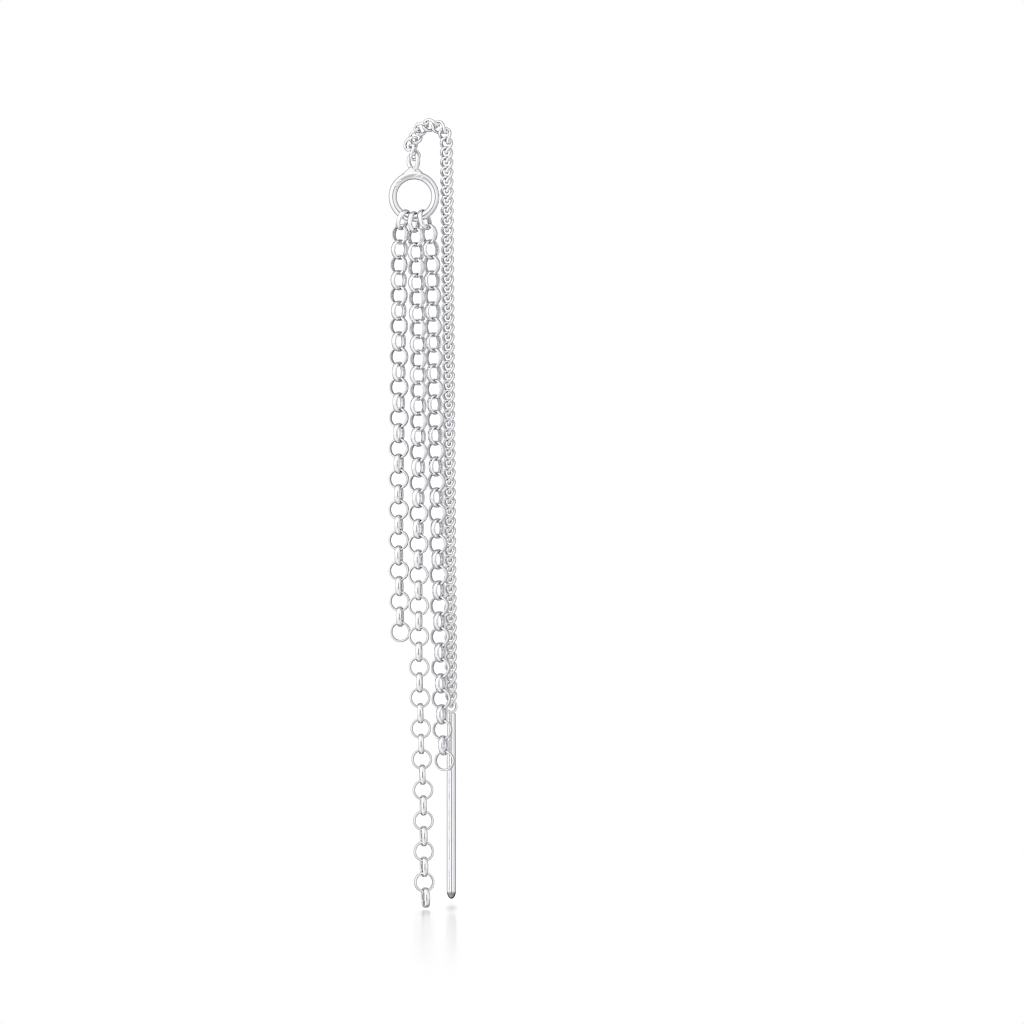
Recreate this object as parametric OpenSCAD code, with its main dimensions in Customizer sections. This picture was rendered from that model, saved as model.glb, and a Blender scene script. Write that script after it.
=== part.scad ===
// Ear chain: a threader earring with a drop ring and three strands of round links.
// The frame has +X to the right, +Y away from the viewer and +Z up.
// The origin is the top of the fine chain's arch, where it passes through the ear.

/* [Drop ring] */
// Centre-line radius of the drop ring
ring_r = 2.13; // [2.12:0.01:2.14]
// Wire diameter of the drop ring
ring_wire_d = 0.84; // [0.76:0.02:0.86]
// How far the ring's centre lies left of the arch's top
ring_left = 1.68; // [1.67:0.01:1.69]
// How far the ring's centre lies below the arch's top
ring_drop = 7.14; // [7.13:0.01:7.15]

/* [Bail loop] */
// Centre-line radius of the bail loop on top of the ring
bail_r = 0.75; // [0.74:0.01:0.76]
// Wire diameter of the bail loop
bail_wire_d = 0.46; // [0.4:0.02:0.48]
// How far the loop's centre lies above the ring's centre
bail_rise = 3.54; // [3.53:0.01:3.55]
// How far the loop's centre lies left of the ring's centre
bail_left = 0.05; // [0.03:0.01:0.07]
// How far the loop is turned about the vertical, its right side to the viewer
bail_turn = 52; // [50:1:54]

/* [Fine chain] */
// Number of links in the fine chain
curb_count = 65; // [62:1:65]
// Distance from one link's centre to the next along the chain
curb_pitch = 0.971; // [0.969:0.001:0.973]
// Wire diameter of a link
curb_wire_d = 0.25; // [0.2:0.01:0.25]
// Half of a link's centre-line length
curb_half_length = 0.76; // [0.755:0.005:0.765]
// Half of a link's centre-line width
curb_half_width = 0.57; // [0.565:0.005:0.575]
// Twist of a link's ends out of its middle plane
curb_twist = 64; // [63:1:65]
// Roll of the last link about the chain's length
curb_roll = -55; // [-57:1:-53]
// Radius of the arch over the ear
arch_r = 1.56; // [1.54:0.01:1.6]
// Lean of the chain's left leg from the vertical
left_lean = 14; // [12:1:16]
// Length of the left leg from its first link's centre to the arch
left_leg = 1.8; // [1.78:0.01:1.82]
// Sideways drift of the right leg over its whole length
leg_drift = 0.46; // [0.42:0.01:0.5]
// How far the right leg hangs behind the arch, clear of the strand in front
leg_back = 1.6; // [1.55:0.05:1.8]

/* [Threader pin] */
// Diameter of the pin
pin_d = 0.96; // [0.9:0.02:1]
// Diameter of the pin just under its eye
pin_neck_d = 0.9; // [0.84:0.02:0.9]
// Distance from the arch's top down to the pin's shoulder
pin_top_drop = 58.7; // [58.65:0.01:58.75]
// Length of the pin from its shoulder to its tip
pin_length = 18.7; // [18:0.1:19]
// Length of the round part under the shoulder that tapers from the neck
pin_taper = 6.8; // [6.5:0.1:7]
// Length of the bullet nose
pin_nose = 0.66; // [0.5:0.02:0.8]
// How far the pin's axis lies right of the arch's top
pin_right = 2.05; // [2.03:0.01:2.07]
// Centre-line radius of the eye on the pin
eye_r = 0.56; // [0.54:0.01:0.58]
// Wire diameter of the eye
eye_wire_d = 0.26; // [0.24:0.01:0.28]
// Turn of the eye about the vertical, across the last link's end
eye_turn = 30; // [28:1:32]

/* [Strands] */
// Outer radius of a round link
link_outer_r = 1.05; // [1.045:0.005:1.055]
// Inner radius of a round link
link_inner_r = 0.85; // [0.845:0.005:0.86]
// Width of a round link along its axis
link_width = 0.6; // [0.5:0.01:0.6]
// Number of links in the short strand
short_count = 27; // [25:1:27]
// Number of links in the long strand
long_count = 44; // [42:1:44]
// Number of links in the medium strand
medium_count = 35; // [33:1:35]

/* [Connecting links] */
// Outer radius of a connecting link
joiner_outer_r = 1.11; // [1.105:0.005:1.115]
// Inner radius of a connecting link
joiner_inner_r = 0.91; // [0.905:0.005:0.915]
// Width of a connecting link along its axis
joiner_width = 0.54; // [0.5:0.01:0.54]
// Angle between neighbouring connecting links round the drop ring
joiner_step = 25; // [24.5:0.5:26]
// Lean of the outer connecting links from the vertical
joiner_lean = 24; // [23:1:25]
// Turn of the connecting links, their left side to the viewer
joiner_turn = 66; // [64:1:67]

/* [Hidden] */

// Clear space between two pieces of loose metal
gap = 0.1;
// Turn of a round link from the one before it
quarter = 90;

// Where the strands hang. Each row holds the drop below the arch's top and the
// way to the right of it. The first link is at the first row, the last at the last.
short_route = [[10.9, -3.05], [14.1, -3.2], [43.5, -3.2], [50.66, -3.04]];
long_route = [
    [11.17, -1.52], [22, -1.24], [42, -1.24], [53.5, -1.17],
    [62, -0.95], [66.5, -0.77], [75.7, -0.65], [77.2, -0.52]
];
medium_route = [
    [10.87, -0.18], [12.42, 0.01], [14.2, 0.1], [23.5, 0.30], [36.5, 0.57],
    [48.2, 0.84], [57.4, 1.05], [60.4, 1.15], [63.55, 1.38]
];

// How the strands turn on their way down. Each row holds the drop and the turn.
short_turns = [[12, 0], [31, 25], [37, 33], [51, 38]];
long_turns = [[26, 0], [46.5, 38], [57, 43], [62, 45], [68, 51], [77, 58]];
medium_turns = [[11, 0], [59, 25], [64, 30]];

// How far behind the ring's plane each strand hangs, or in front of it where less
// than nothing. Each row holds the drop and the depth.
short_depths = [[11, 0.15], [26, 0.4], [45, 0.45]];
long_depths = [[11, -0.22], [26, -0.6]];
medium_depths = [[11, -0.07], [16, 0.06]];

// Nod of the long and the medium strand's connecting links towards their strands
long_joiner_nod = -8;
medium_joiner_nod = 5;
// Half of a round link's flat inner face
inner_face = 0.1;
// How far a round link's widest part lies inside the middle of its metal
crown_inset = 0.015;

// The first two fine links, at the bail loop. Each row holds the link's centre,
// its tilt to the left, its nod to the viewer and its roll about its own length.
first_links = [
    [[-1.711, -0.13, -2.7], 18.9, 9.9, 63.7],
    [[-1.925, -0.055, -1.834], -40.1, -4.9, 12.7]
];
// Length of the right leg over which it passes behind the strand
leg_settle = 16;
// Stations round a fine link and sides of its wire
curb_stations = 12;
curb_sides = 6;
// Exponent that squares the shoulders of a fine link's oval a little
curb_power = 2.3;
// Roll of the links where the arch starts and where it ends
arch_rolls = [-20, -40];
// Half of the step over which the chain's slope is taken
slope_step = 0.1;

// Where the shoulder's flanks leave the ring, as angles round it
shoulder_left = 142;
shoulder_right = 72;
// The two rounded corners under the bail loop, from the ring's centre
shoulder_corner_r = 0.26;
left_corner = [-0.36, 0.1, 2.66];
right_corner = [0.3, -0.1, 2.62];
// How far inside the middle of the ring's wire the shoulder's lower side is cut
shoulder_cut = 0.1;

// Height of the rounding at the pin's top, and the depth of the eye's solder
pin_rounding = 0.2;
eye_sink = 0.14;

ring_wire_r = ring_wire_d / 2;
bail_wire_r = bail_wire_d / 2;
curb_wire_r = curb_wire_d / 2;
arc_length = arch_r * (180 - left_lean) * PI / 180;
right_leg = (curb_count - 1) * curb_pitch - left_leg - arc_length;

function unit(v) = v / norm(v);
function smooth(t) = let (u = min(max(t, 0), 1)) u * u * (3 - 2 * u);
function signed_power(v, e) = sign(v) * pow(abs(v), e);

// A point of a fine link's centre line, at angle t round the twisted oval
function curb_point(t) =
    let (
        w = curb_half_width * signed_power(sin(t), 2 / curb_power),
        z = curb_half_length * signed_power(cos(t), 2 / curb_power),
        turn = curb_twist * z / curb_half_length
    )
    [w * cos(turn), w * sin(turn), z];

// The section of a fine link's wire at angle t
function curb_section(t) =
    let (
        p = curb_point(t),
        along = unit(curb_point(t + 1) - curb_point(t - 1)),
        out = unit(p - (p * along) * along),
        side = cross(along, out)
    )
    [for (k = [0 : curb_sides - 1])
        let (a = 360 * k / curb_sides)
        p + curb_wire_r * (cos(a) * out + sin(a) * side)];

// One link of the fine chain, round its own centre with its length along Z
module curb_link() {
    points = [for (i = [0 : curb_stations - 1]) each curb_section(360 * i / curb_stations)];
    faces = [for (i = [0 : curb_stations - 1], k = [0 : curb_sides - 1])
        let (
            j = (i + 1) % curb_stations,
            m = (k + 1) % curb_sides,
            a = i * curb_sides + k,
            b = i * curb_sides + m,
            c = j * curb_sides + m,
            d = j * curb_sides + k
        )
        each [[a, c, b], [a, d, c]]];
    polyhedron(points, faces);
}

// Angle round the arch at distance s along the chain, 180 on the left and 0 on the right
function arch_angle(s) =
    let (t = min(max(s - left_leg, 0), arc_length))
    180 - left_lean - t / arch_r * 180 / PI;

// Share of the right leg that lies above distance s along the chain
function leg_share(s) = max(s - left_leg - arc_length, 0) / right_leg;

// Roll of the link at distance s about the chain's length
function roll_at(s) = lookup(s, [
    [left_leg, arch_rolls[0]],
    [left_leg + arc_length, arch_rolls[1]],
    [left_leg + arc_length + right_leg, curb_roll]
]);

// Centre of the chain at distance s from its first link's centre
function curb_centre(s) =
    let (
        angle = arch_angle(s),
        before = max(left_leg - s, 0),
        share = leg_share(s),
        after = share * right_leg
    )
    [
        arch_r * cos(angle) - before * sin(left_lean) + leg_drift * share,
        leg_back * smooth(after / leg_settle),
        arch_r * (sin(angle) - 1) - before * cos(left_lean) - after
    ];

// The fine chain from the bail loop over the arch and down to the pin
module curb_chain() {
    color("silver")
    union() {
        for (row = first_links)
            translate(row[0])
            rotate([0, -row[1], 0])
            rotate([row[2], 0, 0])
            rotate([0, 0, row[3]])
            curb_link();
        for (i = [len(first_links) : curb_count - 1]) {
            s = i * curb_pitch;
            slope = curb_centre(s + slope_step) - curb_centre(s - slope_step);
            lean_back = asin(slope.y / norm(slope));
            translate(curb_centre(s))
            rotate([0, -arch_angle(s), 0])
            rotate([lean_back, 0, 0])
            rotate([0, 0, roll_at(s)])
            curb_link();
        }
    }
}

// A round link of flat-sided wire with a narrow inner face, its axis along Y
module round_link(outer, inner, width) {
    middle = (outer + inner) / 2 - crown_inset;
    rotate([90, 0, 0])
    rotate_extrude($fn = 48)
    polygon([
        [inner, -inner_face], [middle, -width / 2], [outer, -width / 4],
        [outer, width / 4], [middle, width / 2], [inner, inner_face]
    ]);
}

// Lean of a strand from the vertical at a drop, from its route half a link each way
function route_lean(route, drop) =
    let (reach = (link_outer_r + link_inner_r) * 0.42)
    atan2(lookup(drop + reach, route) - lookup(drop - reach, route), 2 * reach);

// A strand of round links down a route, each a quarter turn from the one before
module strand(count, route, turns, depths) {
    first = route[0][0];
    last = route[len(route) - 1][0];
    for (i = [0 : count - 1]) {
        drop = first + (last - first) * i / (count - 1);
        turn = quarter / 2 - quarter * (i % 2) - lookup(drop, turns);
        translate([lookup(drop, route), lookup(drop, depths), -drop])
        rotate([0, -route_lean(route, drop), 0])
        rotate([0, 0, -turn])
        round_link(link_outer_r, link_inner_r, link_width);
    }
}

// The connecting link that holds a strand on the ring, at a place round the ring
module joiner(place, nod) {
    hang = joiner_inner_r - ring_wire_r - 0.8 * gap;
    angle = place * joiner_step;
    translate([-ring_left + ring_r * sin(angle), 0, -ring_drop - ring_r * cos(angle)])
    rotate([0, -place * joiner_lean, 0])
    rotate([nod, 0, 0])
    translate([0, 0, -hang])
    rotate([0, 0, joiner_turn])
    round_link(joiner_outer_r, joiner_inner_r, joiner_width);
}

// A closed loop of round wire, its axis along Y
module wire_loop(loop_r, wire_r) {
    rotate([90, 0, 0])
    rotate_extrude($fn = 96)
    translate([loop_r, 0])
    circle(r = wire_r, $fn = 32);
}

// The ring with its shoulder and the bail loop, soldered into one
module drop_ring() {
    color("silver")
    translate([-ring_left, 0, -ring_drop]) {
        wire_loop(ring_r, ring_wire_r);
        difference() {
            shoulder();
            rotate([90, 0, 0])
            cylinder(r = ring_r - shoulder_cut, h = 4, center = true, $fn = 96);
        }
        translate([-bail_left, 0, bail_rise])
        rotate([0, 0, -bail_turn])
        wire_loop(bail_r, bail_wire_r);
    }
}

// The solid shoulder: a straight flank on the left and a steep one on the right
module shoulder() {
    hull() {
        ring_ball(shoulder_left);
        ring_ball(shoulder_right);
        translate(left_corner)
        sphere(r = shoulder_corner_r, $fn = 24);
        translate(right_corner)
        sphere(r = shoulder_corner_r, $fn = 24);
    }
}

// A ball of the ring's wire, at an angle round the ring
module ring_ball(angle) {
    translate([ring_r * cos(angle), 0, ring_r * sin(angle)])
    sphere(r = ring_wire_r, $fn = 32);
}

// The pin: an eye, a shoulder, a slight taper, the straight rod and a bullet nose
module threader_pin() {
    r = pin_d / 2;
    neck = pin_neck_d / 2;
    top = [for (a = [90 : -30 : 0]) [neck * cos(a), pin_rounding * (sin(a) - 1)]];
    nose = [for (a = [0 : 15 : 90]) [r * cos(a), pin_nose * (1 - sin(a)) - pin_length]];
    color("silver")
    translate([pin_right, leg_back, -pin_top_drop]) {
        rotate_extrude($fn = 48)
        polygon([each top, [r, -pin_taper], each nose]);
        translate([0, 0, eye_r + eye_wire_d / 2 - eye_sink])
        rotate([0, 0, eye_turn])
        wire_loop(eye_r, eye_wire_d / 2);
    }
}

module strand_short() {
    color("silver") {
        joiner(-1, 0);
        strand(short_count, short_route, short_turns, short_depths);
    }
}

module strand_long() {
    color("silver") {
        joiner(0, long_joiner_nod);
        strand(long_count, long_route, long_turns, long_depths);
    }
}

module strand_medium() {
    color("silver") {
        joiner(1, medium_joiner_nod);
        strand(medium_count, medium_route, medium_turns, medium_depths);
    }
}

drop_ring();
curb_chain();
threader_pin();
strand_short();
strand_long();
strand_medium();
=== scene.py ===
"""The ear chain's looks: polished silver in a white studio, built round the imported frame."""
import logging
import math
from dataclasses import dataclass
from enum import Enum

import bmesh
import bpy
from mathutils import Matrix, Vector


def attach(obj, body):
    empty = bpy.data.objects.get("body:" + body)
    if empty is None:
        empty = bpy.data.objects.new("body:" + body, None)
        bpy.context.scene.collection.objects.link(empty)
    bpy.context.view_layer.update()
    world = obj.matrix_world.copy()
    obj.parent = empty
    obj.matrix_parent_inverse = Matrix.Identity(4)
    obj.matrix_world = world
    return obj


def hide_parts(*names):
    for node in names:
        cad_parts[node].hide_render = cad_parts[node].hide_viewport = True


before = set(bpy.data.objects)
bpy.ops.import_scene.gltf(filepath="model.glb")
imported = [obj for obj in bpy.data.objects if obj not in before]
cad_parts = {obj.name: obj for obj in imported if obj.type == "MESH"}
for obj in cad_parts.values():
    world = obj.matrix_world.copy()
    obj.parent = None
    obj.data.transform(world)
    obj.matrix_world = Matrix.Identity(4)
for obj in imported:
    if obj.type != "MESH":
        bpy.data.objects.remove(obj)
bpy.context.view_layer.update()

logging.basicConfig(level=logging.INFO, format="%(message)s")
log = logging.getLogger("ear_chain")

# Pieces are shaped in millimetres and scaled to metres when they are finished.
MM = 0.001
# Points that lie nearer to each other than this, in millimetres, are joined.
MERGE = 0.0005
# All the metal hangs as one body and takes one material slot.
BODY = "root"
# Name of the layer that says how much tarnish and painted shade a point takes.
RECESS = "recess"
WHITE = (1.0, 1.0, 1.0, 1.0)
# The drop ring's centre and the radius of its wire's centre line, in millimetres.
RING_CENTRE = (-1.68, 0.0, -7.14)
RING_R = 2.13

Rows = tuple[tuple[float, float], ...]
Tone = tuple[float, float, float, float]
Groups = tuple[bpy.types.NodeTree, bpy.types.NodeTree]


def lookup(value: float, rows: Rows) -> float:
    """Read a value from rows, straight between them and level past the ends.

    Args:
        value: Where to read.
        rows: Pairs of place and value, in rising order of place.

    Returns:
        The value there.
    """
    if value <= rows[0][0]:
        return rows[0][1]
    for (a, low), (b, high) in zip(rows, rows[1:]):
        if value <= b:
            return low + (high - low) * (value - a) / (b - a)
    return rows[-1][1]


def smooth(t: float) -> float:
    """Return t eased from 0 to 1."""
    u = min(max(t, 0.0), 1.0)
    return u * u * (3 - 2 * u)


def moved(x: float, y: float, z: float) -> Matrix:
    """Return a shift in millimetres."""
    return Matrix.Translation((x, y, z))


def turned(degrees: float, axis: str) -> Matrix:
    """Return a turn about an axis through the origin."""
    return Matrix.Rotation(math.radians(degrees), 4, axis)


class Section(Enum):
    """The section of the wire that a link is made from."""

    ROUND = "round"
    HALF_ROUND = "half_round"


@dataclass(frozen=True)
class RingForm:
    """A closed ring of wire round the Y axis, in millimetres.

    Attributes:
        outer: Outer radius.
        inner: Inner radius.
        width: Width along the axis.
        section: Section of the wire.
        sides: Points round the section.
        steps: Stations round the ring.
        flat: How strongly the inner face of half-round wire is flattened.
    """

    outer: float
    inner: float
    width: float
    section: Section = Section.ROUND
    sides: int = 14
    steps: int = 40
    flat: float = 1.15

    def add_to(self, bm: bmesh.types.BMesh) -> list[bmesh.types.BMVert]:
        """Spin the wire's section into a ring.

        Args:
            bm: The mesh that takes the ring.

        Returns:
            The ring's points.
        """
        recess = recess_layer(bm)
        before = set(bm.verts)
        middle = (self.outer + self.inner) / 2
        reach = (self.outer - self.inner) / 2
        made = bmesh.ops.create_circle(bm, cap_ends=False, segments=self.sides, radius=1.0)
        for vert in made["verts"]:
            along, across = vert.co.x, vert.co.y
            if self.section is Section.HALF_ROUND:
                along = max(along * self.flat, -1.0) if along < 0 else along
            vert.co = Vector((middle + reach * along, self.width / 2 * across, 0.0))
        edges = list({edge for vert in made["verts"] for edge in vert.link_edges})
        bmesh.ops.spin(
            bm, geom=made["verts"] + edges, cent=(0, 0, 0), axis=(0, 1, 0),
            angle=math.tau, steps=self.steps, use_merge=True,
        )
        verts = [vert for vert in bm.verts if vert not in before]
        # The ring's inner side is marked for tarnish and painted shade, fully at the inner edge.
        for vert in verts:
            radius = math.hypot(vert.co.x, vert.co.z)
            vert[recess] = min(max((middle - radius) / reach, 0.0), 1.0)
        return verts


def recess_layer(bm: bmesh.types.BMesh) -> bmesh.types.BMLayerItem:
    """Return the layer that says how much tarnish and painted shade a point takes, from 0 to 1."""
    return bm.verts.layers.float.get(RECESS) or bm.verts.layers.float.new(RECESS)


def lay_copies(bm: bmesh.types.BMesh, pattern: list[bmesh.types.BMVert], places: list[Matrix]) -> None:
    """Lay copies of a pattern at places and take the pattern out.

    Args:
        bm: The mesh that holds the pattern.
        pattern: The pattern's points.
        places: One placing for each copy.
    """
    faces = list({face for vert in pattern for face in vert.link_faces})
    edges = list({edge for vert in pattern for edge in vert.link_edges})
    for place in places:
        copied = bmesh.ops.duplicate(bm, geom=pattern + edges + faces)["geom"]
        verts = [part for part in copied if isinstance(part, bmesh.types.BMVert)]
        bmesh.ops.transform(bm, matrix=place, verts=verts)
    bmesh.ops.delete(bm, geom=pattern, context="VERTS")


def drop_crumbs(bm: bmesh.types.BMesh, least: int) -> None:
    """Take out the tiny islands that melting can leave where two forms cross.

    Args:
        bm: The mesh.
        least: How many points an island needs to stay.
    """
    left = set(bm.verts)
    crumbs: list[bmesh.types.BMVert] = []
    while left:
        island = front = {left.pop()}
        while front:
            front = {edge.other_vert(vert) for vert in front for edge in vert.link_edges} & left
            left -= front
            island = island | front
        if len(island) < least:
            crumbs += island
    bmesh.ops.delete(bm, geom=crumbs, context="VERTS")


def rough_object(bm: bmesh.types.BMesh, name: str) -> bpy.types.Object:
    """Make an object for modifiers to work on.

    Args:
        bm: The mesh, which is freed.
        name: The object's name.

    Returns:
        The object.
    """
    mesh = bpy.data.meshes.new(name)
    bm.to_mesh(mesh)
    bm.free()
    made = bpy.data.objects.new(name, mesh)
    bpy.context.scene.collection.objects.link(made)
    return made


def apply_modifiers(piece: bpy.types.Object) -> None:
    """Bake a piece's modifiers into its mesh."""
    bpy.context.view_layer.update()
    graph = bpy.context.evaluated_depsgraph_get()
    baked = bpy.data.meshes.new_from_object(piece.evaluated_get(graph))
    piece.modifiers.clear()
    piece.data = baked


def finished_piece(
    bm: bmesh.types.BMesh, node: str, name: str, material: bpy.types.Material,
) -> bpy.types.Object:
    """Turn a mesh in millimetres into a piece that stands for a node of the frame.

    Args:
        bm: The mesh, which is freed.
        node: The node that the piece stands for.
        name: The piece's name.
        material: Its finish.

    Returns:
        The piece, in place.
    """
    bmesh.ops.remove_doubles(bm, verts=bm.verts, dist=MERGE)
    bmesh.ops.recalc_face_normals(bm, faces=bm.faces)
    bmesh.ops.scale(bm, vec=(MM, MM, MM), verts=bm.verts)
    mesh = bpy.data.meshes.new(name)
    for face in bm.faces:
        face.smooth = True
    bm.to_mesh(mesh)
    bm.free()
    mesh.materials.append(material)
    piece = bpy.data.objects.new(name, mesh)
    bpy.context.scene.collection.objects.link(piece)
    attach(piece, BODY)
    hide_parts(node)
    log.info("%s: %d faces, for node %s", name, len(mesh.polygons), node)
    return piece


class NodeBench:
    """Places shader nodes in a tree and joins them."""

    def __init__(self, tree: bpy.types.NodeTree) -> None:
        """Keep the tree that the nodes go in."""
        self.tree = tree

    def add(self, kind: str, links: dict | None = None, **settings: object) -> bpy.types.Node:
        """Add a node.

        Args:
            kind: Blender's name of the node's type.
            links: Input name or number to a value or to an output socket.
            settings: Properties of the node.

        Returns:
            The node.
        """
        node = self.tree.nodes.new(kind)
        for key, value in settings.items():
            setattr(node, key, value)
        for key, value in (links or {}).items():
            self.feed(node.inputs[key], value)
        return node

    def feed(self, socket: bpy.types.NodeSocket, value: object) -> None:
        """Join an output socket to an input, or set the input's own value."""
        if isinstance(value, bpy.types.NodeSocket):
            self.tree.links.new(value, socket)
        else:
            socket.default_value = value

    def sum(self, operation: str, a: object, b: object = 0.0, clamp: bool = False) -> bpy.types.NodeSocket:
        """Work out one sum on two numbers or sockets.

        Args:
            operation: Blender's name of the sum.
            a: The first number or socket.
            b: The second.
            clamp: True to keep the result from 0 to 1.

        Returns:
            The result's socket.
        """
        return self.add("ShaderNodeMath", {0: a, 1: b}, operation=operation, use_clamp=clamp).outputs[0]

    def range(
        self, value: object, low: float, high: float, to_low: float = 0.0, to_high: float = 1.0,
    ) -> bpy.types.NodeSocket:
        """Return a value eased from one range to another.

        Args:
            value: The value or its socket.
            low: Where the first range begins.
            high: Where it ends.
            to_low: Where the second range begins.
            to_high: Where it ends.

        Returns:
            The result's socket.
        """
        limits = {"From Min": low, "From Max": high, "To Min": to_low, "To Max": to_high}
        node = self.add("ShaderNodeMapRange", {"Value": value, **limits}, interpolation_type="SMOOTHSTEP")
        return node.outputs["Result"]

    def ramp(self, value: object, stops: Rows, eased: bool = False) -> bpy.types.NodeSocket:
        """Return the grey that a colour ramp gives.

        Args:
            value: What drives the ramp, from 0 to 1.
            stops: Pairs of place and grey.
            eased: True for eased steps, False for straight ones.

        Returns:
            The ramp's colour socket.
        """
        node = self.add("ShaderNodeValToRGB", {"Fac": value})
        node.color_ramp.interpolation = "EASE" if eased else "LINEAR"
        elements = node.color_ramp.elements
        while len(elements) < len(stops):
            elements.new(0.5)
        for element, (place, grey) in zip(elements, sorted(stops)):
            element.position = place
            element.color = (grey, grey, grey, 1.0)
        return node.outputs["Color"]

    def mix(self, share: object, first: object, second: object, blend: str = "MIX") -> bpy.types.NodeSocket:
        """Mix two colours.

        Args:
            share: Share of the second colour, as a number or socket.
            first: The first colour or its socket.
            second: The second colour or its socket.
            blend: Blender's name of the way to mix.

        Returns:
            The mixed colour's socket.
        """
        node = self.add("ShaderNodeMix", {"Factor": share}, data_type="RGBA", blend_type=blend)
        self.feed(node.inputs[6], first)
        self.feed(node.inputs[7], second)
        return node.outputs[2]

    def noise(
        self, place: object, scale: object, detail: float, roughness: float = 0.5,
    ) -> bpy.types.NodeSocket:
        """Return noise.

        Args:
            place: Socket with the place.
            scale: How fine the noise is.
            detail: How many finer layers it has.
            roughness: How strong the finer layers are.

        Returns:
            The socket with the noise, about 0 to 1.
        """
        links = {"Vector": place, "Scale": scale, "Detail": detail, "Roughness": roughness}
        return self.add("ShaderNodeTexNoise", links).outputs[0]


def effect_tree(
    name: str, inputs: tuple[tuple[str, float], ...], outputs: tuple[str, ...],
) -> bpy.types.NodeTree:
    """Start a node group that works out numbers.

    Args:
        name: The group's name.
        inputs: Name and first value of each input.
        outputs: Names of the outputs.

    Returns:
        The group, with no nodes yet.
    """
    tree = bpy.data.node_groups.new(name, "ShaderNodeTree")
    for label, value in inputs:
        socket = tree.interface.new_socket(label, in_out="INPUT", socket_type="NodeSocketFloat")
        socket.default_value = value
    for label in outputs:
        tree.interface.new_socket(label, in_out="OUTPUT", socket_type="NodeSocketFloat")
    return tree


def burnish_group() -> bpy.types.NodeTree:
    """Build the effect of burnishing: fine marks, slow waves and smears that dull the shine.

    Returns:
        The node group, with the outputs Marks and Smears.
    """
    mark_stretch = (1.0, 1.0, 0.25)
    smear_edges = (0.35, 0.7)
    inputs = (("Mark Scale", 9000.0), ("Wave Scale", 1600.0), ("Wave Share", 0.6), ("Smear Scale", 900.0))
    tree = effect_tree("burnish_marks", inputs, ("Marks", "Smears"))
    bench = NodeBench(tree)
    given = bench.add("NodeGroupInput").outputs
    place = bench.add("ShaderNodeTexCoord").outputs["Object"]
    drawn = bench.add("ShaderNodeMapping", {"Vector": place, "Scale": mark_stretch}).outputs[0]
    marks = bench.noise(drawn, given["Mark Scale"], detail=3.0, roughness=0.6)
    waves = bench.noise(place, given["Wave Scale"], detail=1.0)
    smears = bench.noise(place, given["Smear Scale"], detail=4.0, roughness=0.65)
    rest = bench.sum("SUBTRACT", 1.0, given["Wave Share"])
    wave_part = bench.sum("MULTIPLY", waves, given["Wave Share"])
    height = bench.sum("ADD", bench.sum("MULTIPLY", marks, rest), wave_part)
    out = bench.add("NodeGroupOutput")
    bench.feed(out.inputs["Marks"], height)
    bench.feed(out.inputs["Smears"], bench.range(smears, *smear_edges))
    return tree


def tarnish_and_shade_group() -> bpy.types.NodeTree:
    """Build tarnish and painted shade, which darken the recesses between links.

    Returns:
        The node group, with one output: the tarnish and painted shade mask.
    """
    recess_edges = (0.1, 0.75)
    cloud_edges = (0.5, 0.75)
    inputs = (("Reach", 0.5), ("Bloom", 0.1), ("Bloom Scale", 500.0))
    tree = effect_tree("recess_tarnish_and_shade", inputs, ("Tarnish_and_Shade",))
    bench = NodeBench(tree)
    given = bench.add("NodeGroupInput").outputs
    place = bench.add("ShaderNodeTexCoord").outputs["Object"]
    recess = bench.add("ShaderNodeAttribute", attribute_name=RECESS).outputs["Fac"]
    cloud = bench.noise(place, given["Bloom Scale"], detail=3.0)
    # The recess mark gives tarnish and painted shade; the cloudy bloom is tarnish alone.
    deep = bench.sum("MULTIPLY", bench.range(recess, *recess_edges), given["Reach"])
    bloom = bench.sum("MULTIPLY", bench.range(cloud, *cloud_edges), given["Bloom"])
    out = bench.add("NodeGroupOutput")
    bench.feed(out.inputs["Tarnish_and_Shade"], bench.sum("ADD", deep, bloom, clamp=True))
    return tree


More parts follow.
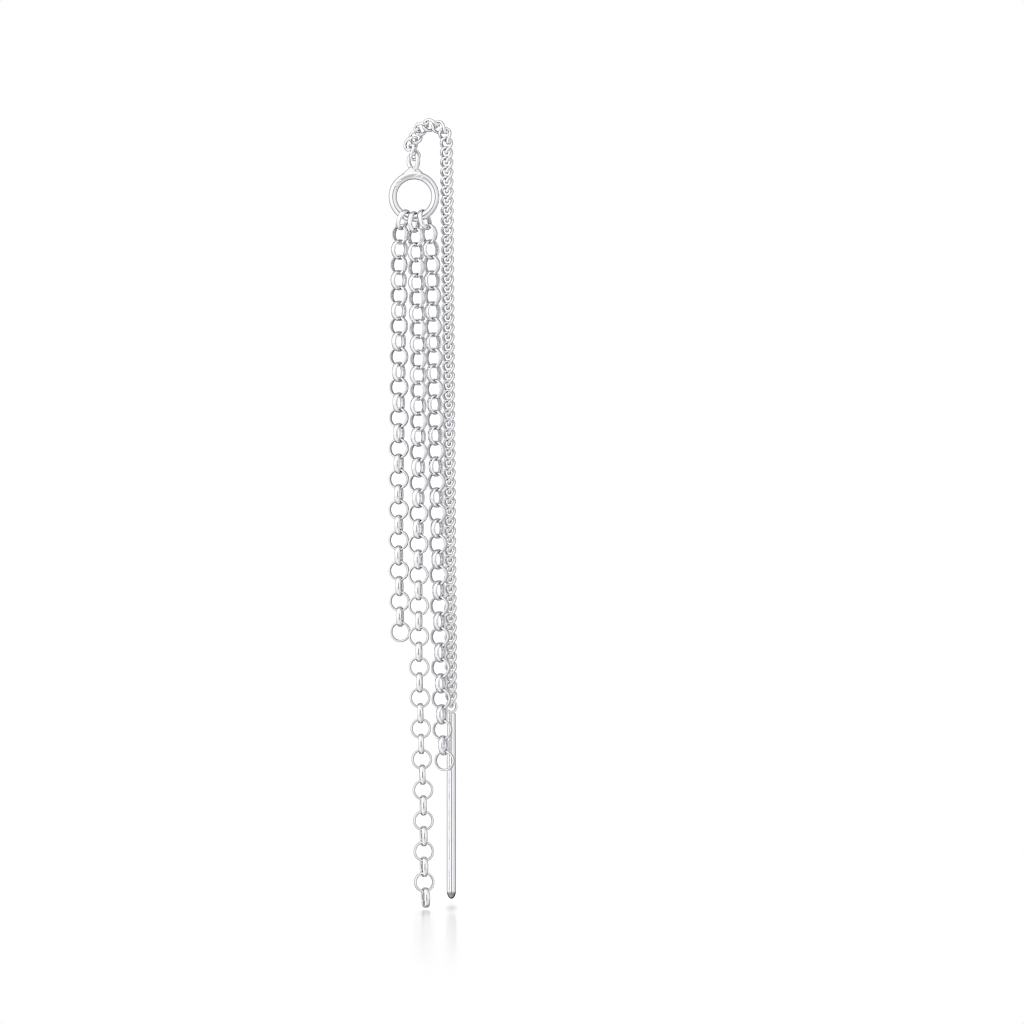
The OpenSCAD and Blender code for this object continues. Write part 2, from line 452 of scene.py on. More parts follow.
@dataclass(frozen=True)
class SilverFinish:
    """A silver finish.

    Attributes:
        name: The material's name.
        tarnish_and_shade: How dull the recesses are, from tarnish and painted shade.
        bright: Colour of clean metal.
        dull: Colour of tarnished metal and of the painted shade.
        shine: Roughness where the polish is best and where it is smeared.
        mark_scale: Scale of the fine marks.
        wave_scale: Scale of the slow waves.
        wave_share: Share of the waves in the relief.
        relief: Height of the relief, in metres.
        bloom: How dull the cloudy patches are.
        matt: How much rougher the recesses are.
    """

    name: str
    tarnish_and_shade: float
    bright: Tone = (0.945, 0.946, 0.965, 1.0)
    dull: Tone = (0.4, 0.4, 0.41, 1.0)
    shine: tuple[float, float] = (0.07, 0.14)
    mark_scale: float = 9000.0
    wave_scale: float = 1600.0
    wave_share: float = 0.6
    relief: float = 4e-6
    bloom: float = 0.06
    matt: float = 0.0

    def material(self, burnish: bpy.types.NodeTree, tarnish_and_shade: bpy.types.NodeTree) -> bpy.types.Material:
        """Build the material.

        Args:
            burnish: The effect of burnishing.
            tarnish_and_shade: The effect of tarnish and painted shade.

        Returns:
            The material.
        """
        made = bpy.data.materials.new(self.name)
        made.use_nodes = True
        made.node_tree.nodes.clear()
        bench = NodeBench(made.node_tree)
        marks = bench.add("ShaderNodeGroup", node_tree=burnish)
        marks.inputs["Mark Scale"].default_value = self.mark_scale
        marks.inputs["Wave Scale"].default_value = self.wave_scale
        marks.inputs["Wave Share"].default_value = self.wave_share
        grime_and_shade = bench.add("ShaderNodeGroup", node_tree=tarnish_and_shade)
        grime_and_shade.inputs["Reach"].default_value = self.tarnish_and_shade
        grime_and_shade.inputs["Bloom"].default_value = self.bloom
        # Tarnish and painted shade pull the recesses towards the dull colour.
        colour = bench.mix(grime_and_shade.outputs["Tarnish_and_Shade"], self.bright, self.dull)
        polish = bench.range(marks.outputs["Smears"], 0.0, 1.0, *self.shine)
        rougher = bench.sum("MULTIPLY", grime_and_shade.outputs["Tarnish_and_Shade"], self.matt)
        rough = bench.sum("ADD", polish, rougher, clamp=True)
        relief = {"Height": marks.outputs["Marks"], "Distance": self.relief, "Strength": 1.0}
        bump = bench.add("ShaderNodeBump", relief)
        metal = bench.add("ShaderNodeBsdfPrincipled", {
            "Base Color": colour, "Metallic": 1.0, "Roughness": rough, "Normal": bump.outputs["Normal"],
        })
        bench.add("ShaderNodeOutputMaterial", {"Surface": metal.outputs[0]})
        return made


@dataclass
class DropRing:
    """The drop ring with its soldered shoulder and bail loop, in millimetres.

    Heights of the shoulder and the bail loop are taken from the ring's centre.

    Attributes:
        finish: The metal's finish.
        wire_r: Radius of the ring's wire.
        bail_r: Radius of the bail loop's centre line.
        bail_wire_r: Radius of the bail loop's wire.
        bail_rise: Height of the bail loop's centre.
        bail_left: How far it lies to the left.
        bail_turn: Its turn about the vertical, in degrees.
        shoulder_angles: Angles of the shoulder's feet round the ring, in degrees.
        corners: Places of the shoulder's upper corners.
        corner_r: Radius of the balls at the corners.
        foot_ball_r: Radius of the balls at the feet.
        soft_from: Height where the softer polish begins, and the length of its fade.
        crisp_from: Height where the polish is crisper again, and the length of its fade.
        crisp_share: How much of the softness it loses there.
        ball_steps: Steps round the balls and from pole to pole.
        hole_steps: Steps round the hole.
        hole_depth: Length of the cylinder that cuts the hole.
        ring_steps: Points round the ring's wire and stations round the ring.
        bail_steps: Points round the bail loop's wire and stations round the loop.
        voxel: Grain of the melted mesh.
        relax: Strength of the smoothing after the melting, and how often it is done.
        least_island: Fewest points of an island that stays.
    """

    finish: SilverFinish
    wire_r: float = 0.42
    bail_r: float = 0.75
    bail_wire_r: float = 0.23
    bail_rise: float = 3.54
    bail_left: float = 0.05
    bail_turn: float = 52.0
    shoulder_angles: tuple[float, float] = (142.0, 72.0)
    corners: tuple[tuple[float, float, float], ...] = ((-0.36, 0.1, 2.66), (0.3, 0.08, 2.62))
    corner_r: float = 0.26
    foot_ball_r: float = 0.5
    soft_from: tuple[float, float] = (1.2, 0.6)
    crisp_from: tuple[float, float] = (2.05, 0.35)
    crisp_share: float = 0.7
    ball_steps: tuple[int, int] = (32, 20)
    hole_steps: int = 96
    hole_depth: float = 4.0
    ring_steps: tuple[int, int] = (40, 120)
    bail_steps: tuple[int, int] = (28, 72)
    voxel: float = 0.035
    relax: tuple[float, int] = (0.5, 6)
    least_island: int = 100

    def shoulder_balls(self) -> list[tuple[float, float, float, float]]:
        """Return the balls that the shoulder is stretched over, as place and radius."""
        foot_r = RING_R + self.wire_r - self.foot_ball_r
        angles = [math.radians(degrees) for degrees in self.shoulder_angles]
        feet = [(foot_r * math.cos(a), 0.0, foot_r * math.sin(a), self.foot_ball_r) for a in angles]
        return feet + [(x, y, z, self.corner_r) for x, y, z in self.corners]

    def hole_cutter(self) -> bpy.types.Object:
        """Return a cylinder that fills the ring's hole."""
        plug = bmesh.new()
        hole_r = RING_R - self.wire_r
        bmesh.ops.create_cone(
            plug, cap_ends=True, segments=self.hole_steps, radius1=hole_r, radius2=hole_r,
            depth=self.hole_depth, matrix=turned(90, "X"),
        )
        return rough_object(plug, "hole")

    def shoulder(self) -> bpy.types.Object:
        """Build the shoulder: a hull over two places on the ring and two corners, less the hole.

        Returns:
            The shoulder, in millimetres.
        """
        bm = bmesh.new()
        around, upward = self.ball_steps
        for x, y, z, radius in self.shoulder_balls():
            place = moved(x, y, z)
            bmesh.ops.create_uvsphere(bm, u_segments=around, v_segments=upward, radius=radius, matrix=place)
        hull = bmesh.ops.convex_hull(bm, input=bm.verts)
        spare = hull["geom_interior"] + hull["geom_unused"]
        inner = {part for part in spare if isinstance(part, bmesh.types.BMVert)}
        bmesh.ops.delete(bm, geom=list(inner), context="VERTS")
        bmesh.ops.recalc_face_normals(bm, faces=bm.faces)
        shoulder = rough_object(bm, "shoulder")
        cutter = self.hole_cutter()
        cut = shoulder.modifiers.new("hole", "BOOLEAN")
        cut.operation, cut.solver, cut.object = "DIFFERENCE", "EXACT", cutter
        apply_modifiers(shoulder)
        bpy.data.objects.remove(cutter)
        return shoulder

    def add_wires(self, bm: bmesh.types.BMesh) -> None:
        """Add the ring and the bail loop.

        Args:
            bm: The mesh that takes them, with the ring's centre at the origin.
        """
        thick, thin = self.wire_r, self.bail_wire_r
        sides, steps = self.ring_steps
        ring = RingForm(RING_R + thick, RING_R - thick, 2 * thick, sides=sides, steps=steps)
        ring.add_to(bm)
        sides, steps = self.bail_steps
        bail = RingForm(self.bail_r + thin, self.bail_r - thin, 2 * thin, sides=sides, steps=steps)
        place = moved(-self.bail_left, 0, self.bail_rise) @ turned(-self.bail_turn, "Z")
        bmesh.ops.transform(bm, matrix=place, verts=bail.add_to(bm))

    def mark_soft(self, bm: bmesh.types.BMesh) -> None:
        """Mark the flat between the ring's hole and the shoulder's top, where the polish is softer.

        Args:
            bm: The mesh, with the ring's centre at the origin.
        """
        recess = recess_layer(bm)
        for vert in bm.verts:
            soft = smooth((vert.co.z - self.soft_from[0]) / self.soft_from[1])
            crisp = smooth((vert.co.z - self.crisp_from[0]) / self.crisp_from[1])
            vert[recess] = soft * (1 - self.crisp_share * crisp)

    def build(self) -> bmesh.types.BMesh:
        """Melt the ring, the shoulder and the bail loop into one smooth solid.

        Returns:
            The mesh in millimetres.
        """
        bm = bmesh.new()
        self.add_wires(bm)
        shoulder = self.shoulder()
        bm.from_mesh(shoulder.data)
        bpy.data.objects.remove(shoulder)
        bmesh.ops.recalc_face_normals(bm, faces=bm.faces)
        body = rough_object(bm, "ring_body")
        melt = body.modifiers.new("melt", "REMESH")
        melt.mode, melt.voxel_size = "VOXEL", self.voxel
        relax = body.modifiers.new("relax", "SMOOTH")
        relax.factor, relax.iterations = self.relax
        apply_modifiers(body)
        bm = bmesh.new()
        bm.from_mesh(body.data)
        bpy.data.objects.remove(body)
        drop_crumbs(bm, self.least_island)
        self.mark_soft(bm)
        bmesh.ops.transform(bm, matrix=moved(*RING_CENTRE), verts=bm.verts)
        return bm

    def dress(self, groups: Groups) -> bpy.types.Object:
        """Return the finished ring."""
        return finished_piece(self.build(), "drop_ring", "ring_with_bail", self.finish.material(*groups))


@dataclass
class FineChain:
    """The fine curb chain from the bail loop over the arch and down to the pin, in millimetres.

    Attributes:
        finish: The metal's finish.
        count: How many links it has.
        pitch: Distance from link to link.
        wire_r: Radius of the wire.
        half_length: Half the length of a link's centre line.
        half_width: Half the width of a link's centre line.
        twist: How far each end of a link is turned out of its middle's plane, in degrees.
        rolls: Roll of the links at the left leg, at the arch's end and at the pin, in degrees.
        power: Form of the oval: 2 for an ellipse, more for squarer corners.
        arch_r: Radius of the arch's centre line.
        left_lean: Lean of the left leg, in degrees.
        left_leg: Length of the left leg.
        leg_drift: How far the right leg drifts to the right.
        leg_back: How far the right leg settles behind the arch.
        leg_settle: Length over which it does so.
        slope_step: How far before and after a link its slope is read.
        sides: Points round the wire.
        steps: Stations round a link.
        direction_step: How far before and after a station its direction is read, in radians.
        first_links: Centre, tilt, nod and roll of the links in the bail loop.
    """

    finish: SilverFinish
    count: int = 65
    pitch: float = 0.971
    wire_r: float = 0.165
    half_length: float = 0.76
    half_width: float = 0.57
    twist: float = 64.0
    rolls: tuple[float, float, float] = (-20.0, -40.0, -55.0)
    power: float = 2.3
    arch_r: float = 1.56
    left_lean: float = 14.0
    left_leg: float = 1.8
    leg_drift: float = 0.46
    leg_back: float = 1.6
    leg_settle: float = 16.0
    slope_step: float = 0.1
    sides: int = 10
    steps: int = 32
    direction_step: float = 0.02
    first_links: tuple[tuple[tuple[float, float, float], float, float, float], ...] = (
        ((-1.711, -0.13, -2.7), 18.9, 9.9, 63.7),
        ((-1.925, -0.055, -1.834), -40.1, -4.9, 12.7),
    )

    def oval(self, t: float) -> Vector:
        """Return a point of a link's centre line, at an angle in radians round the twisted oval."""
        def eased(v: float) -> float:
            """Return a sine or cosine drawn out towards a squarer oval."""
            return math.copysign(abs(v) ** (2 / self.power), v)
        across = self.half_width * eased(math.sin(t))
        along = self.half_length * eased(math.cos(t))
        turn = math.radians(self.twist) * along / self.half_length
        return Vector((across * math.cos(turn), across * math.sin(turn), along))

    def add_link(self, bm: bmesh.types.BMesh) -> list[bmesh.types.BMVert]:
        """Spin a ring with wire of radius 1 and draw its points on to the twisted oval.

        Args:
            bm: The mesh that takes the link.

        Returns:
            The link's points.
        """
        plain_r = 2.0
        plain = RingForm(plain_r + 1, plain_r - 1, 2.0, sides=self.sides, steps=self.steps)
        verts = plain.add_to(bm)
        step = self.direction_step
        for vert in verts:
            t = math.atan2(vert.co.x, vert.co.z)
            out_share, side_share = math.hypot(vert.co.x, vert.co.z) - plain_r, vert.co.y
            point = self.oval(t)
            along = (self.oval(t + step) - self.oval(t - step)).normalized()
            out = (point - point.dot(along) * along).normalized()
            vert.co = point + self.wire_r * (out_share * out + side_share * along.cross(out))
        return verts

    @property
    def arc_length(self) -> float:
        """Length of the chain round the arch."""
        return self.arch_r * math.radians(180 - self.left_lean)

    def arch_angle(self, s: float) -> float:
        """Return the angle round the arch at a distance along the chain, in degrees."""
        t = min(max(s - self.left_leg, 0.0), self.arc_length)
        return 180 - self.left_lean - math.degrees(t / self.arch_r)

    @property
    def right_leg(self) -> float:
        """Length of the right leg."""
        return (self.count - 1) * self.pitch - self.left_leg - self.arc_length

    def leg_share(self, s: float) -> float:
        """Return the share of the right leg that lies above a distance along the chain."""
        return max(s - self.left_leg - self.arc_length, 0.0) / self.right_leg

    def roll_at(self, s: float) -> float:
        """Return a link's roll about the chain's length, in degrees."""
        corner = self.left_leg + self.arc_length
        return lookup(s, tuple(zip((self.left_leg, corner, corner + self.right_leg), self.rolls)))

    def centre(self, s: float) -> Vector:
        """Return the chain's centre at a distance from its first link."""
        angle, lean = math.radians(self.arch_angle(s)), math.radians(self.left_lean)
        before = max(self.left_leg - s, 0.0)
        share = self.leg_share(s)
        after = share * self.right_leg
        return Vector((
            self.arch_r * math.cos(angle) - before * math.sin(lean) + self.leg_drift * share,
            self.leg_back * smooth(after / self.leg_settle),
            self.arch_r * (math.sin(angle) - 1) - before * math.cos(lean) - after,
        ))

    def places(self) -> list[Matrix]:
        """Return the placing of each link."""
        places = [
            moved(*centre) @ turned(-tilt, "Y") @ turned(nod, "X") @ turned(roll, "Z")
            for centre, tilt, nod, roll in self.first_links
        ]
        for i in range(len(self.first_links), self.count):
            s = i * self.pitch
            slope = self.centre(s + self.slope_step) - self.centre(s - self.slope_step)
            lean_back = math.degrees(math.asin(slope.y / slope.length))
            lean = turned(-self.arch_angle(s), "Y") @ turned(lean_back, "X")
            places.append(moved(*self.centre(s)) @ lean @ turned(self.roll_at(s), "Z"))
        return places

    def dress(self, groups: Groups) -> bpy.types.Object:
        """Return the finished chain."""
        bm = bmesh.new()
        recess_layer(bm)
        lay_copies(bm, self.add_link(bm), self.places())
        return finished_piece(bm, "curb_chain", "fine_chain", self.finish.material(*groups))


@dataclass
class ThreaderPin:
    """The pin that passes through the ear, with its eye, in millimetres.

    Attributes:
        finish: The metal's finish.
        shoulder: Place of the pin's top.
        radius: Radius of the straight part.
        neck: Radius at the top.
        length: Length from the top to the tip.
        taper: Drop at which the straight part begins.
        nose: Length of the nose.
        rounding: Height of the rounded top.
        stations: Drops of the outline's points between top and nose.
        top_step: Step round the rounded top, in degrees.
        nose_step: Step round the nose, in degrees.
        eye_r: Radius of the eye's centre line.
        eye_wire_r: Radius of the eye's wire.
        eye_turn: Turn of the eye about the pin, in degrees.
        eye_sink: How deep the eye sits in the top.
        eye_steps: Points round the eye's wire and stations round the eye.
        eye_recess: How much of the tarnish and painted shade the eye's inside takes.
        steps: Steps round the pin.
        painted_tip_shade: Height above the tip where its painted shade begins, and the length of its fade.
    """

    finish: SilverFinish
    shoulder: tuple[float, float, float] = (2.05, 1.6, -58.7)
    radius: float = 0.48
    neck: float = 0.45
    length: float = 18.7
    taper: float = 6.8
    nose: float = 0.88
    rounding: float = 0.2
    stations: tuple[float, ...] = (2.0, 4.0, 6.8, 9.0, 12.0, 15.0, 17.5, 17.65)
    top_step: int = 10
    nose_step: int = 6
    eye_r: float = 0.56
    eye_wire_r: float = 0.13
    eye_turn: float = 30.0
    eye_sink: float = 0.14
    eye_steps: tuple[int, int] = (16, 48)
    eye_recess: float = 0.3
    steps: int = 64
    painted_tip_shade: tuple[float, float] = (1.05, 0.85)

    def outline(self) -> list[tuple[float, float]]:
        """Return the pin's outline from its top to its tip, as radius and height."""
        top_angles = [math.radians(degrees) for degrees in range(90, -1, -self.top_step)]
        nose_angles = [math.radians(degrees) for degrees in range(0, 91, self.nose_step)]
        radii = ((self.rounding, self.neck), (self.taper, self.radius))
        top = [(self.neck * math.cos(a), self.rounding * (math.sin(a) - 1)) for a in top_angles]
        body = [(lookup(drop, radii), -drop) for drop in self.stations]
        nose = [(self.radius * math.cos(a), self.nose * (1 - math.sin(a)) - self.length) for a in nose_angles]
        return top + body + nose

    def add_eye(self, bm: bmesh.types.BMesh) -> None:
        """Add the eye on the pin's top.

        Args:
            bm: The mesh, with the pin's top at the origin.
        """
        recess = recess_layer(bm)
        thin = self.eye_wire_r
        sides, steps = self.eye_steps
        eye = RingForm(self.eye_r + thin, self.eye_r - thin, 2 * thin, sides=sides, steps=steps).add_to(bm)
        # The eye's inside takes only a share of the tarnish and painted shade.
        for vert in eye:
            vert[recess] *= self.eye_recess
        rise = self.eye_r + thin - self.eye_sink
        bmesh.ops.transform(bm, matrix=moved(0, 0, rise) @ turned(self.eye_turn, "Z"), verts=eye)

    def dress(self, groups: Groups) -> bpy.types.Object:
        """Return the finished pin."""
        bm = bmesh.new()
        recess = recess_layer(bm)
        outline = [bm.verts.new((max(r, 0.0), 0.0, z)) for r, z in self.outline()]
        edges = [bm.edges.new(pair) for pair in zip(outline, outline[1:])]
        bmesh.ops.spin(
            bm, geom=outline + edges, cent=(0, 0, 0), axis=(0, 0, 1),
            angle=math.tau, steps=self.steps, use_merge=True,
        )
        bmesh.ops.remove_doubles(bm, verts=bm.verts, dist=MERGE)
        # Painted shade: the tip is marked to darken towards its point.
        above_tip, fade = self.painted_tip_shade
        for vert in bm.verts:
            vert[recess] = smooth((above_tip - self.length - vert.co.z) / fade)
        self.add_eye(bm)
        bmesh.ops.transform(bm, matrix=moved(*self.shoulder), verts=bm.verts)
        return finished_piece(bm, "threader_pin", "threading_pin", self.finish.material(*groups))


@dataclass
class Strand:
    """A strand of round links with its connecting link on the drop ring, in millimetres.

    Attributes:
        node: The node that the strand stands for.
        count: How many round links it has.
        route: Drop below the arch's top and way to the right of it.
        turns: Drop and turn of the links.
        depths: Drop and depth behind the ring's plane.
        place: Place of the connecting link round the ring, from its lowest point.
        nod: Nod of the connecting link, in degrees.
        finish: The metal's finish.
        link: Form of a round link.
        joiner: Form of the connecting link.
        joiner_step: Angle round the ring from one connecting link to the next, in degrees.
        joiner_lean: How much further each connecting link leans than the one before, in degrees.
        joiner_turn: Turn of the connecting link about its length, in degrees.
        joiner_hang: How far its centre lies below the centre line of the ring's wire.
        slope_reach: How far above and below a link its lean is read.
    """

    node: str
    count: int
    route: Rows
    turns: Rows
    depths: Rows
    place: int
    nod: float
    finish: SilverFinish
    link: RingForm = RingForm(1.05, 0.80, 0.56, Section.HALF_ROUND)
    joiner: RingForm = RingForm(1.11, 0.87, 0.52, Section.HALF_ROUND)
    joiner_step: float = 25.0
    joiner_lean: float = 24.0
    joiner_turn: float = 66.0
    joiner_hang: float = 0.41
    slope_reach: float = 0.798

    def lean(self, drop: float) -> float:
        """Return the strand's lean from the vertical at a drop, in degrees."""
        shift = lookup(drop + self.slope_reach, self.route) - lookup(drop - self.slope_reach, self.route)
        return math.degrees(math.atan2(shift, 2 * self.slope_reach))

    def link_places(self) -> list[Matrix]:
        """Return the placing of each round link, a quarter turn from the one before."""
        first, last = self.route[0][0], self.route[-1][0]
        places = []
        for i in range(self.count):
            drop = first + (last - first) * i / (self.count - 1)
            turn = 45 - 90 * (i % 2) - lookup(drop, self.turns)
            spot = moved(lookup(drop, self.route), lookup(drop, self.depths), -drop)
            places.append(spot @ turned(-self.lean(drop), "Y") @ turned(-turn, "Z"))
        return places

    def joiner_place(self) -> Matrix:
        """Return the placing of the connecting link."""
        angle = math.radians(self.place * self.joiner_step)
        x, y, z = RING_CENTRE
        spot = moved(x + RING_R * math.sin(angle), y, z - RING_R * math.cos(angle))
        lean = turned(-self.place * self.joiner_lean, "Y") @ turned(self.nod, "X")
        return spot @ lean @ moved(0, 0, -self.joiner_hang) @ turned(self.joiner_turn, "Z")

    def dress(self, groups: Groups) -> bpy.types.Object:
        """Return the finished strand."""
        bm = bmesh.new()
        recess_layer(bm)
        lay_copies(bm, self.link.add_to(bm), self.link_places())
        bmesh.ops.transform(bm, matrix=self.joiner_place(), verts=self.joiner.add_to(bm))
        name = self.node.replace("strand", "links")
        return finished_piece(bm, self.node, name, self.finish.material(*groups))


@dataclass(frozen=True)
class PaintedTipReflection:
    """A painted reflection on the floor under a tip: a faint grey patch, in metres.

    Attributes:
        centre: Its centre.
        half: Half its width and half its depth.
        grey: Its grey in the middle.
    """

    centre: tuple[float, float]
    half: tuple[float, float]
    grey: float

    def shade(self, bench: NodeBench, place: bpy.types.NodeSocket) -> bpy.types.NodeSocket:
        """Return the painted reflection's grey, white outside it.

        Args:
            bench: Where the nodes go.
            place: Socket with the place on the floor.

        Returns:
            The colour's socket.
        """
        (x, y), (half_x, half_y) = self.centre, self.half
        near = bench.add("ShaderNodeMapping", {
            "Vector": place,
            "Location": (-x / half_x, -y / half_y, 0.0),
            "Scale": (1 / half_x, 1 / half_y, 0.0),
        }).outputs[0]
        far = bench.add("ShaderNodeVectorMath", {0: near}, operation="LENGTH").outputs["Value"]
        middle = (self.grey, self.grey, self.grey, 1.0)
        return bench.mix(bench.range(far, 0.0, 1.0), middle, WHITE)


@dataclass
class Studio:
    """The white floor, the soft light all round and the camera, in metres.

    The light depends only on the way that it comes from. Its bearing is a share of the round: 0 and 1
    behind the object, 0.25 on its left, 0.5 in front and 0.75 on its right.

    Attributes:
        floor_z: Height of the floor.
        floor_r: Radius of the floor.
        floor_steps: Points round the floor.
        gloss_reach: Distance where the floor's gloss begins to fade and where it ends.
        gloss_share: Share of the gloss in the middle.
        gloss_roughness: How soft the floor's reflections are.
        painted_reflections: Painted reflections under the tips, as grey patches.
        eye: Place of the camera.
        lens: Focal length, in millimetres.
        sensor: Width of the camera's sensor, in millimetres.
        clip: Nearest and farthest distance that the camera sees.
        strength: Strength of the light.
        around: Bearing and grey of the light.
        line: Bearing and grey of the dark line that round wire mirrors along its middle.
        line_height: Steepness at which the dark line begins to fade and at which it ends.
        level: Height and grey of the light, where 0 is straight down and 1 straight up.
        back_patch: How nearly straight behind a white patch begins and where it is full, from 0 to 1.
        crispness: How much the picture is sharpened.
    """

    floor_z: float = -0.0784
    floor_r: float = 3.0
    floor_steps: int = 64
    gloss_reach: tuple[float, float] = (0.078, 0.2)
    gloss_share: float = 0.48
    gloss_roughness: float = 0.16
    painted_reflections: tuple[PaintedTipReflection, ...] = (
        PaintedTipReflection((0.00205, 0.004), (0.0009, 0.017), 0.55),
        PaintedTipReflection((-0.0005, -0.01), (0.0012, 0.016), 0.8),
    )
    eye: tuple[float, float, float] = (0.00812, -1.2, -0.03867)
    lens: float = 421.9
    sensor: float = 36.0
    clip: tuple[float, float] = (0.05, 100.0)
    strength: float = 1.06
    around: Rows = (
        (0.0, 0.5), (0.08, 0.5), (0.17, 0.62), (0.22, 0.82), (0.27, 1.0),
        (0.43, 1.0), (0.5, 0.92), (0.56, 0.84), (0.64, 0.8), (0.7, 0.7),
        (0.78, 0.58), (0.84, 0.43), (0.93, 0.4), (0.97, 0.45), (1.0, 0.5),
    )
    line: Rows = ((0.0, 1.0), (0.455, 1.0), (0.48, 0.45), (0.515, 0.45), (0.54, 1.0), (1.0, 1.0))
    line_height: tuple[float, float] = (0.3, 0.85)
    level: Rows = ((0.0, 0.85), (0.3, 0.85), (0.5, 1.0), (1.0, 1.0))
    back_patch: tuple[float, float] = (0.93, 0.97)
    crispness: float = 0.09

    def floor_material(self) -> bpy.types.Material:
        """Build the floor's finish: white, with a faint soft reflection near the middle and a painted
        reflection under each tip.

        Returns:
            The material.
        """
        made = bpy.data.materials.new("floor_white")
        made.use_nodes = True
        made.node_tree.nodes.clear()
        bench = NodeBench(made.node_tree)
        place = bench.add("ShaderNodeTexCoord").outputs["Object"]
        spread = bench.add("ShaderNodeVectorMath", {0: place}, operation="LENGTH").outputs["Value"]
        share = bench.range(spread, *self.gloss_reach, self.gloss_share, 0.0)
        # Painted reflection: each tip's grey patch darkens the floor's white glow under it.
        tone, *others = [patch.shade(bench, place) for patch in self.painted_reflections]
        for shade in others:
            tone = bench.mix(1.0, tone, shade, blend="MULTIPLY")
        glow = bench.add("ShaderNodeEmission", {"Color": tone, "Strength": 1.0})
        gloss = bench.add("ShaderNodeBsdfGlossy", {"Color": WHITE, "Roughness": self.gloss_roughness})
        both = bench.add("ShaderNodeMixShader", {0: share, 1: glow.outputs[0], 2: gloss.outputs[0]})
        bench.add("ShaderNodeOutputMaterial", {"Surface": both.outputs[0]})
        return made

    def floor(self) -> None:
        """Lay the floor."""
        bm = bmesh.new()
        place = Matrix.Translation((0, 0, self.floor_z))
        bmesh.ops.create_circle(
            bm, cap_ends=True, segments=self.floor_steps, radius=self.floor_r, matrix=place,
        )
        mesh = bpy.data.meshes.new("floor")
        bm.to_mesh(mesh)
        bm.free()
        mesh.materials.append(self.floor_material())
        floor = bpy.data.objects.new("floor", mesh)
        bpy.context.scene.collection.objects.link(floor)
        floor.visible_glossy = False

    def light_grey(self, bench: NodeBench) -> bpy.types.NodeSocket:
        """Return the light's grey for the way that it comes from.

        Args:
            bench: Where the nodes go.

        Returns:
            The colour's socket.
        """
        way = bench.add("ShaderNodeTexCoord").outputs["Generated"]
        parts = bench.add("ShaderNodeSeparateXYZ", {"Vector": way}).outputs
        bearing = bench.sum("ARCTAN2", parts["X"], bench.sum("MULTIPLY", parts["Y"], -1.0))
        round_share = bench.sum("ADD", bench.sum("MULTIPLY", bearing, 1 / math.tau), 0.5)
        around = bench.ramp(round_share, self.around)
        line = bench.ramp(round_share, self.line)
        off_level = bench.range(bench.sum("ABSOLUTE", parts["Z"]), *self.line_height)
        dimmed = bench.mix(off_level, line, WHITE)
        height = bench.sum("ADD", bench.sum("MULTIPLY", parts["Z"], 0.5), 0.5)
        level = bench.ramp(height, self.level, eased=True)
        sides = bench.mix(1.0, around, dimmed, blend="MULTIPLY")
        grey = bench.mix(1.0, sides, level, blend="MULTIPLY")
        return bench.mix(bench.range(parts["Y"], *self.back_patch), grey, WHITE)

    def light(self) -> None:
        """Light the studio from all round, white in front and greyer at the sides and behind."""
        world = bpy.data.worlds.new("studio_light")
        bpy.context.scene.world = world
        world.use_nodes = True
        world.node_tree.nodes.clear()
        bench = NodeBench(world.node_tree)
        seen = bench.add("ShaderNodeLightPath").outputs["Is Camera Ray"]
        shown = bench.mix(seen, self.light_grey(bench), WHITE)
        power = bench.add("ShaderNodeMapRange", {"Value": seen, "To Min": self.strength, "To Max": 1.0})
        sky = bench.add("ShaderNodeBackground", {"Color": shown, "Strength": power.outputs["Result"]})
        bench.add("ShaderNodeOutputWorld", {"Surface": sky.outputs[0]})

    def camera(self) -> None:
        """Stand the camera straight in front, as in the photograph."""
        lens = bpy.data.cameras.new("camera")
        lens.lens = self.lens
        lens.sensor_width = self.sensor
        lens.clip_start, lens.clip_end = self.clip
        camera = bpy.data.objects.new("camera", lens)
        camera.location = self.eye
        camera.rotation_euler = (math.radians(90), 0.0, 0.0)
        bpy.context.scene.collection.objects.link(camera)
        bpy.context.scene.camera = camera
        bpy.context.scene.view_settings.view_transform = "Standard"

    def develop(self) -> None:
        """Sharpen the picture a little, as the photograph is."""
        scene = bpy.context.scene
        scene.use_nodes = True
        scene.node_tree.nodes.clear()
        bench = NodeBench(scene.node_tree)
        taken = bench.add("CompositorNodeRLayers").outputs["Image"]
        sharpen = {"Fac": self.crispness, "Image": taken}
        crisp = bench.add("CompositorNodeFilter", sharpen, filter_type="SHARPEN")
        bench.add("CompositorNodeComposite", {"Image": crisp.outputs["Image"]})

    def set_up(self) -> None:
        """Set up the whole studio."""
        self.camera()
        self.light()
        self.floor()
        self.develop()


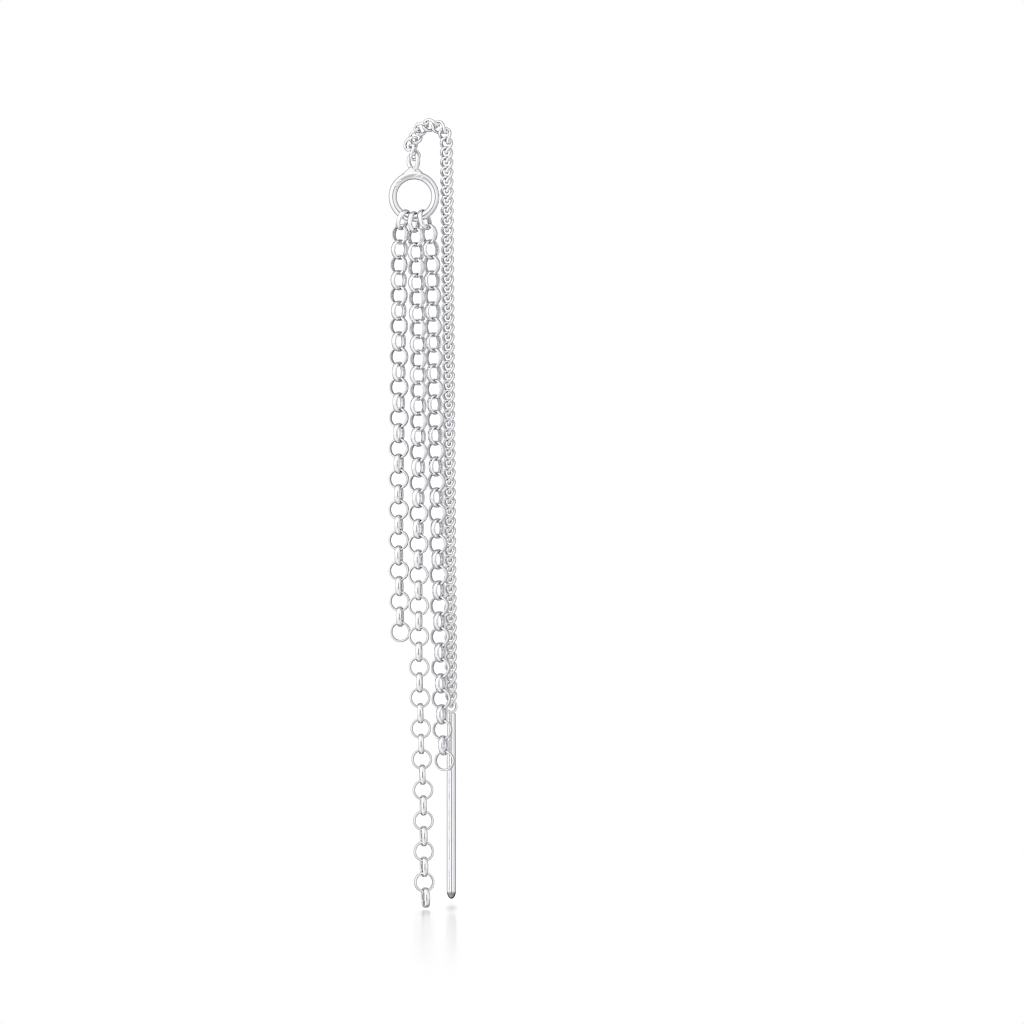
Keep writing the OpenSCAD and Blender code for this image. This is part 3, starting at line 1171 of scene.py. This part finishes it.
RING_SILVER = SilverFinish(
    "ring_silver", tarnish_and_shade=1.0, dull=(0.935, 0.936, 0.955, 1.0), shine=(0.05, 0.09), relief=2e-6, matt=0.25,
)
# The links' inner sides darken towards the dull colour: tarnish and painted shade.
LINK_SILVER = SilverFinish("link_silver", tarnish_and_shade=0.38, relief=5e-6)
CURB_SILVER = SilverFinish("curb_silver", tarnish_and_shade=0.34)
# The pin's dull grey paints shade on its tip, and tarnish and painted shade inside its eye.
PIN_SILVER = SilverFinish(
    "pin_silver", tarnish_and_shade=1.0, dull=(0.36, 0.36, 0.37, 1.0), shine=(0.1, 0.15), relief=2e-6,
)

SHORT = Strand(
    "strand_short",
    count=27,
    route=((10.9, -3.05), (14.1, -3.2), (43.5, -3.2), (50.66, -3.04)),
    turns=((12, 0), (31, 25), (37, 33), (51, 38)),
    depths=((11, 0.15), (26, 0.4), (45, 0.45)),
    place=-1,
    nod=0.0,
    finish=LINK_SILVER,
)
LONG = Strand(
    "strand_long",
    count=44,
    route=(
        (11.17, -1.52), (22, -1.24), (42, -1.24), (53.5, -1.17),
        (62, -0.95), (66.5, -0.77), (75.7, -0.65), (77.2, -0.52),
    ),
    turns=((26, 0), (46.5, 38), (57, 43), (62, 45), (68, 51), (77, 58)),
    depths=((11, -0.22), (26, -0.6)),
    place=0,
    nod=-8.0,
    finish=LINK_SILVER,
)
MEDIUM = Strand(
    "strand_medium",
    count=35,
    route=(
        (10.87, -0.18), (12.42, 0.01), (14.2, 0.1), (23.5, 0.30), (36.5, 0.57),
        (48.2, 0.84), (57.4, 1.05), (60.4, 1.15), (63.55, 1.38),
    ),
    turns=((11, 0), (59, 25), (64, 30)),
    depths=((11, -0.07), (16, 0.06)),
    place=1,
    nod=5.0,
    finish=LINK_SILVER,
)


def main() -> None:
    """Build the studio and every piece."""
    Studio().set_up()
    groups = (burnish_group(), tarnish_and_shade_group())
    for part in (DropRing(RING_SILVER), FineChain(CURB_SILVER), ThreaderPin(PIN_SILVER), SHORT, LONG, MEDIUM):
        piece = part.dress(groups)
        log.info("built %s", piece.name)


if __name__ == "__main__":
    main()
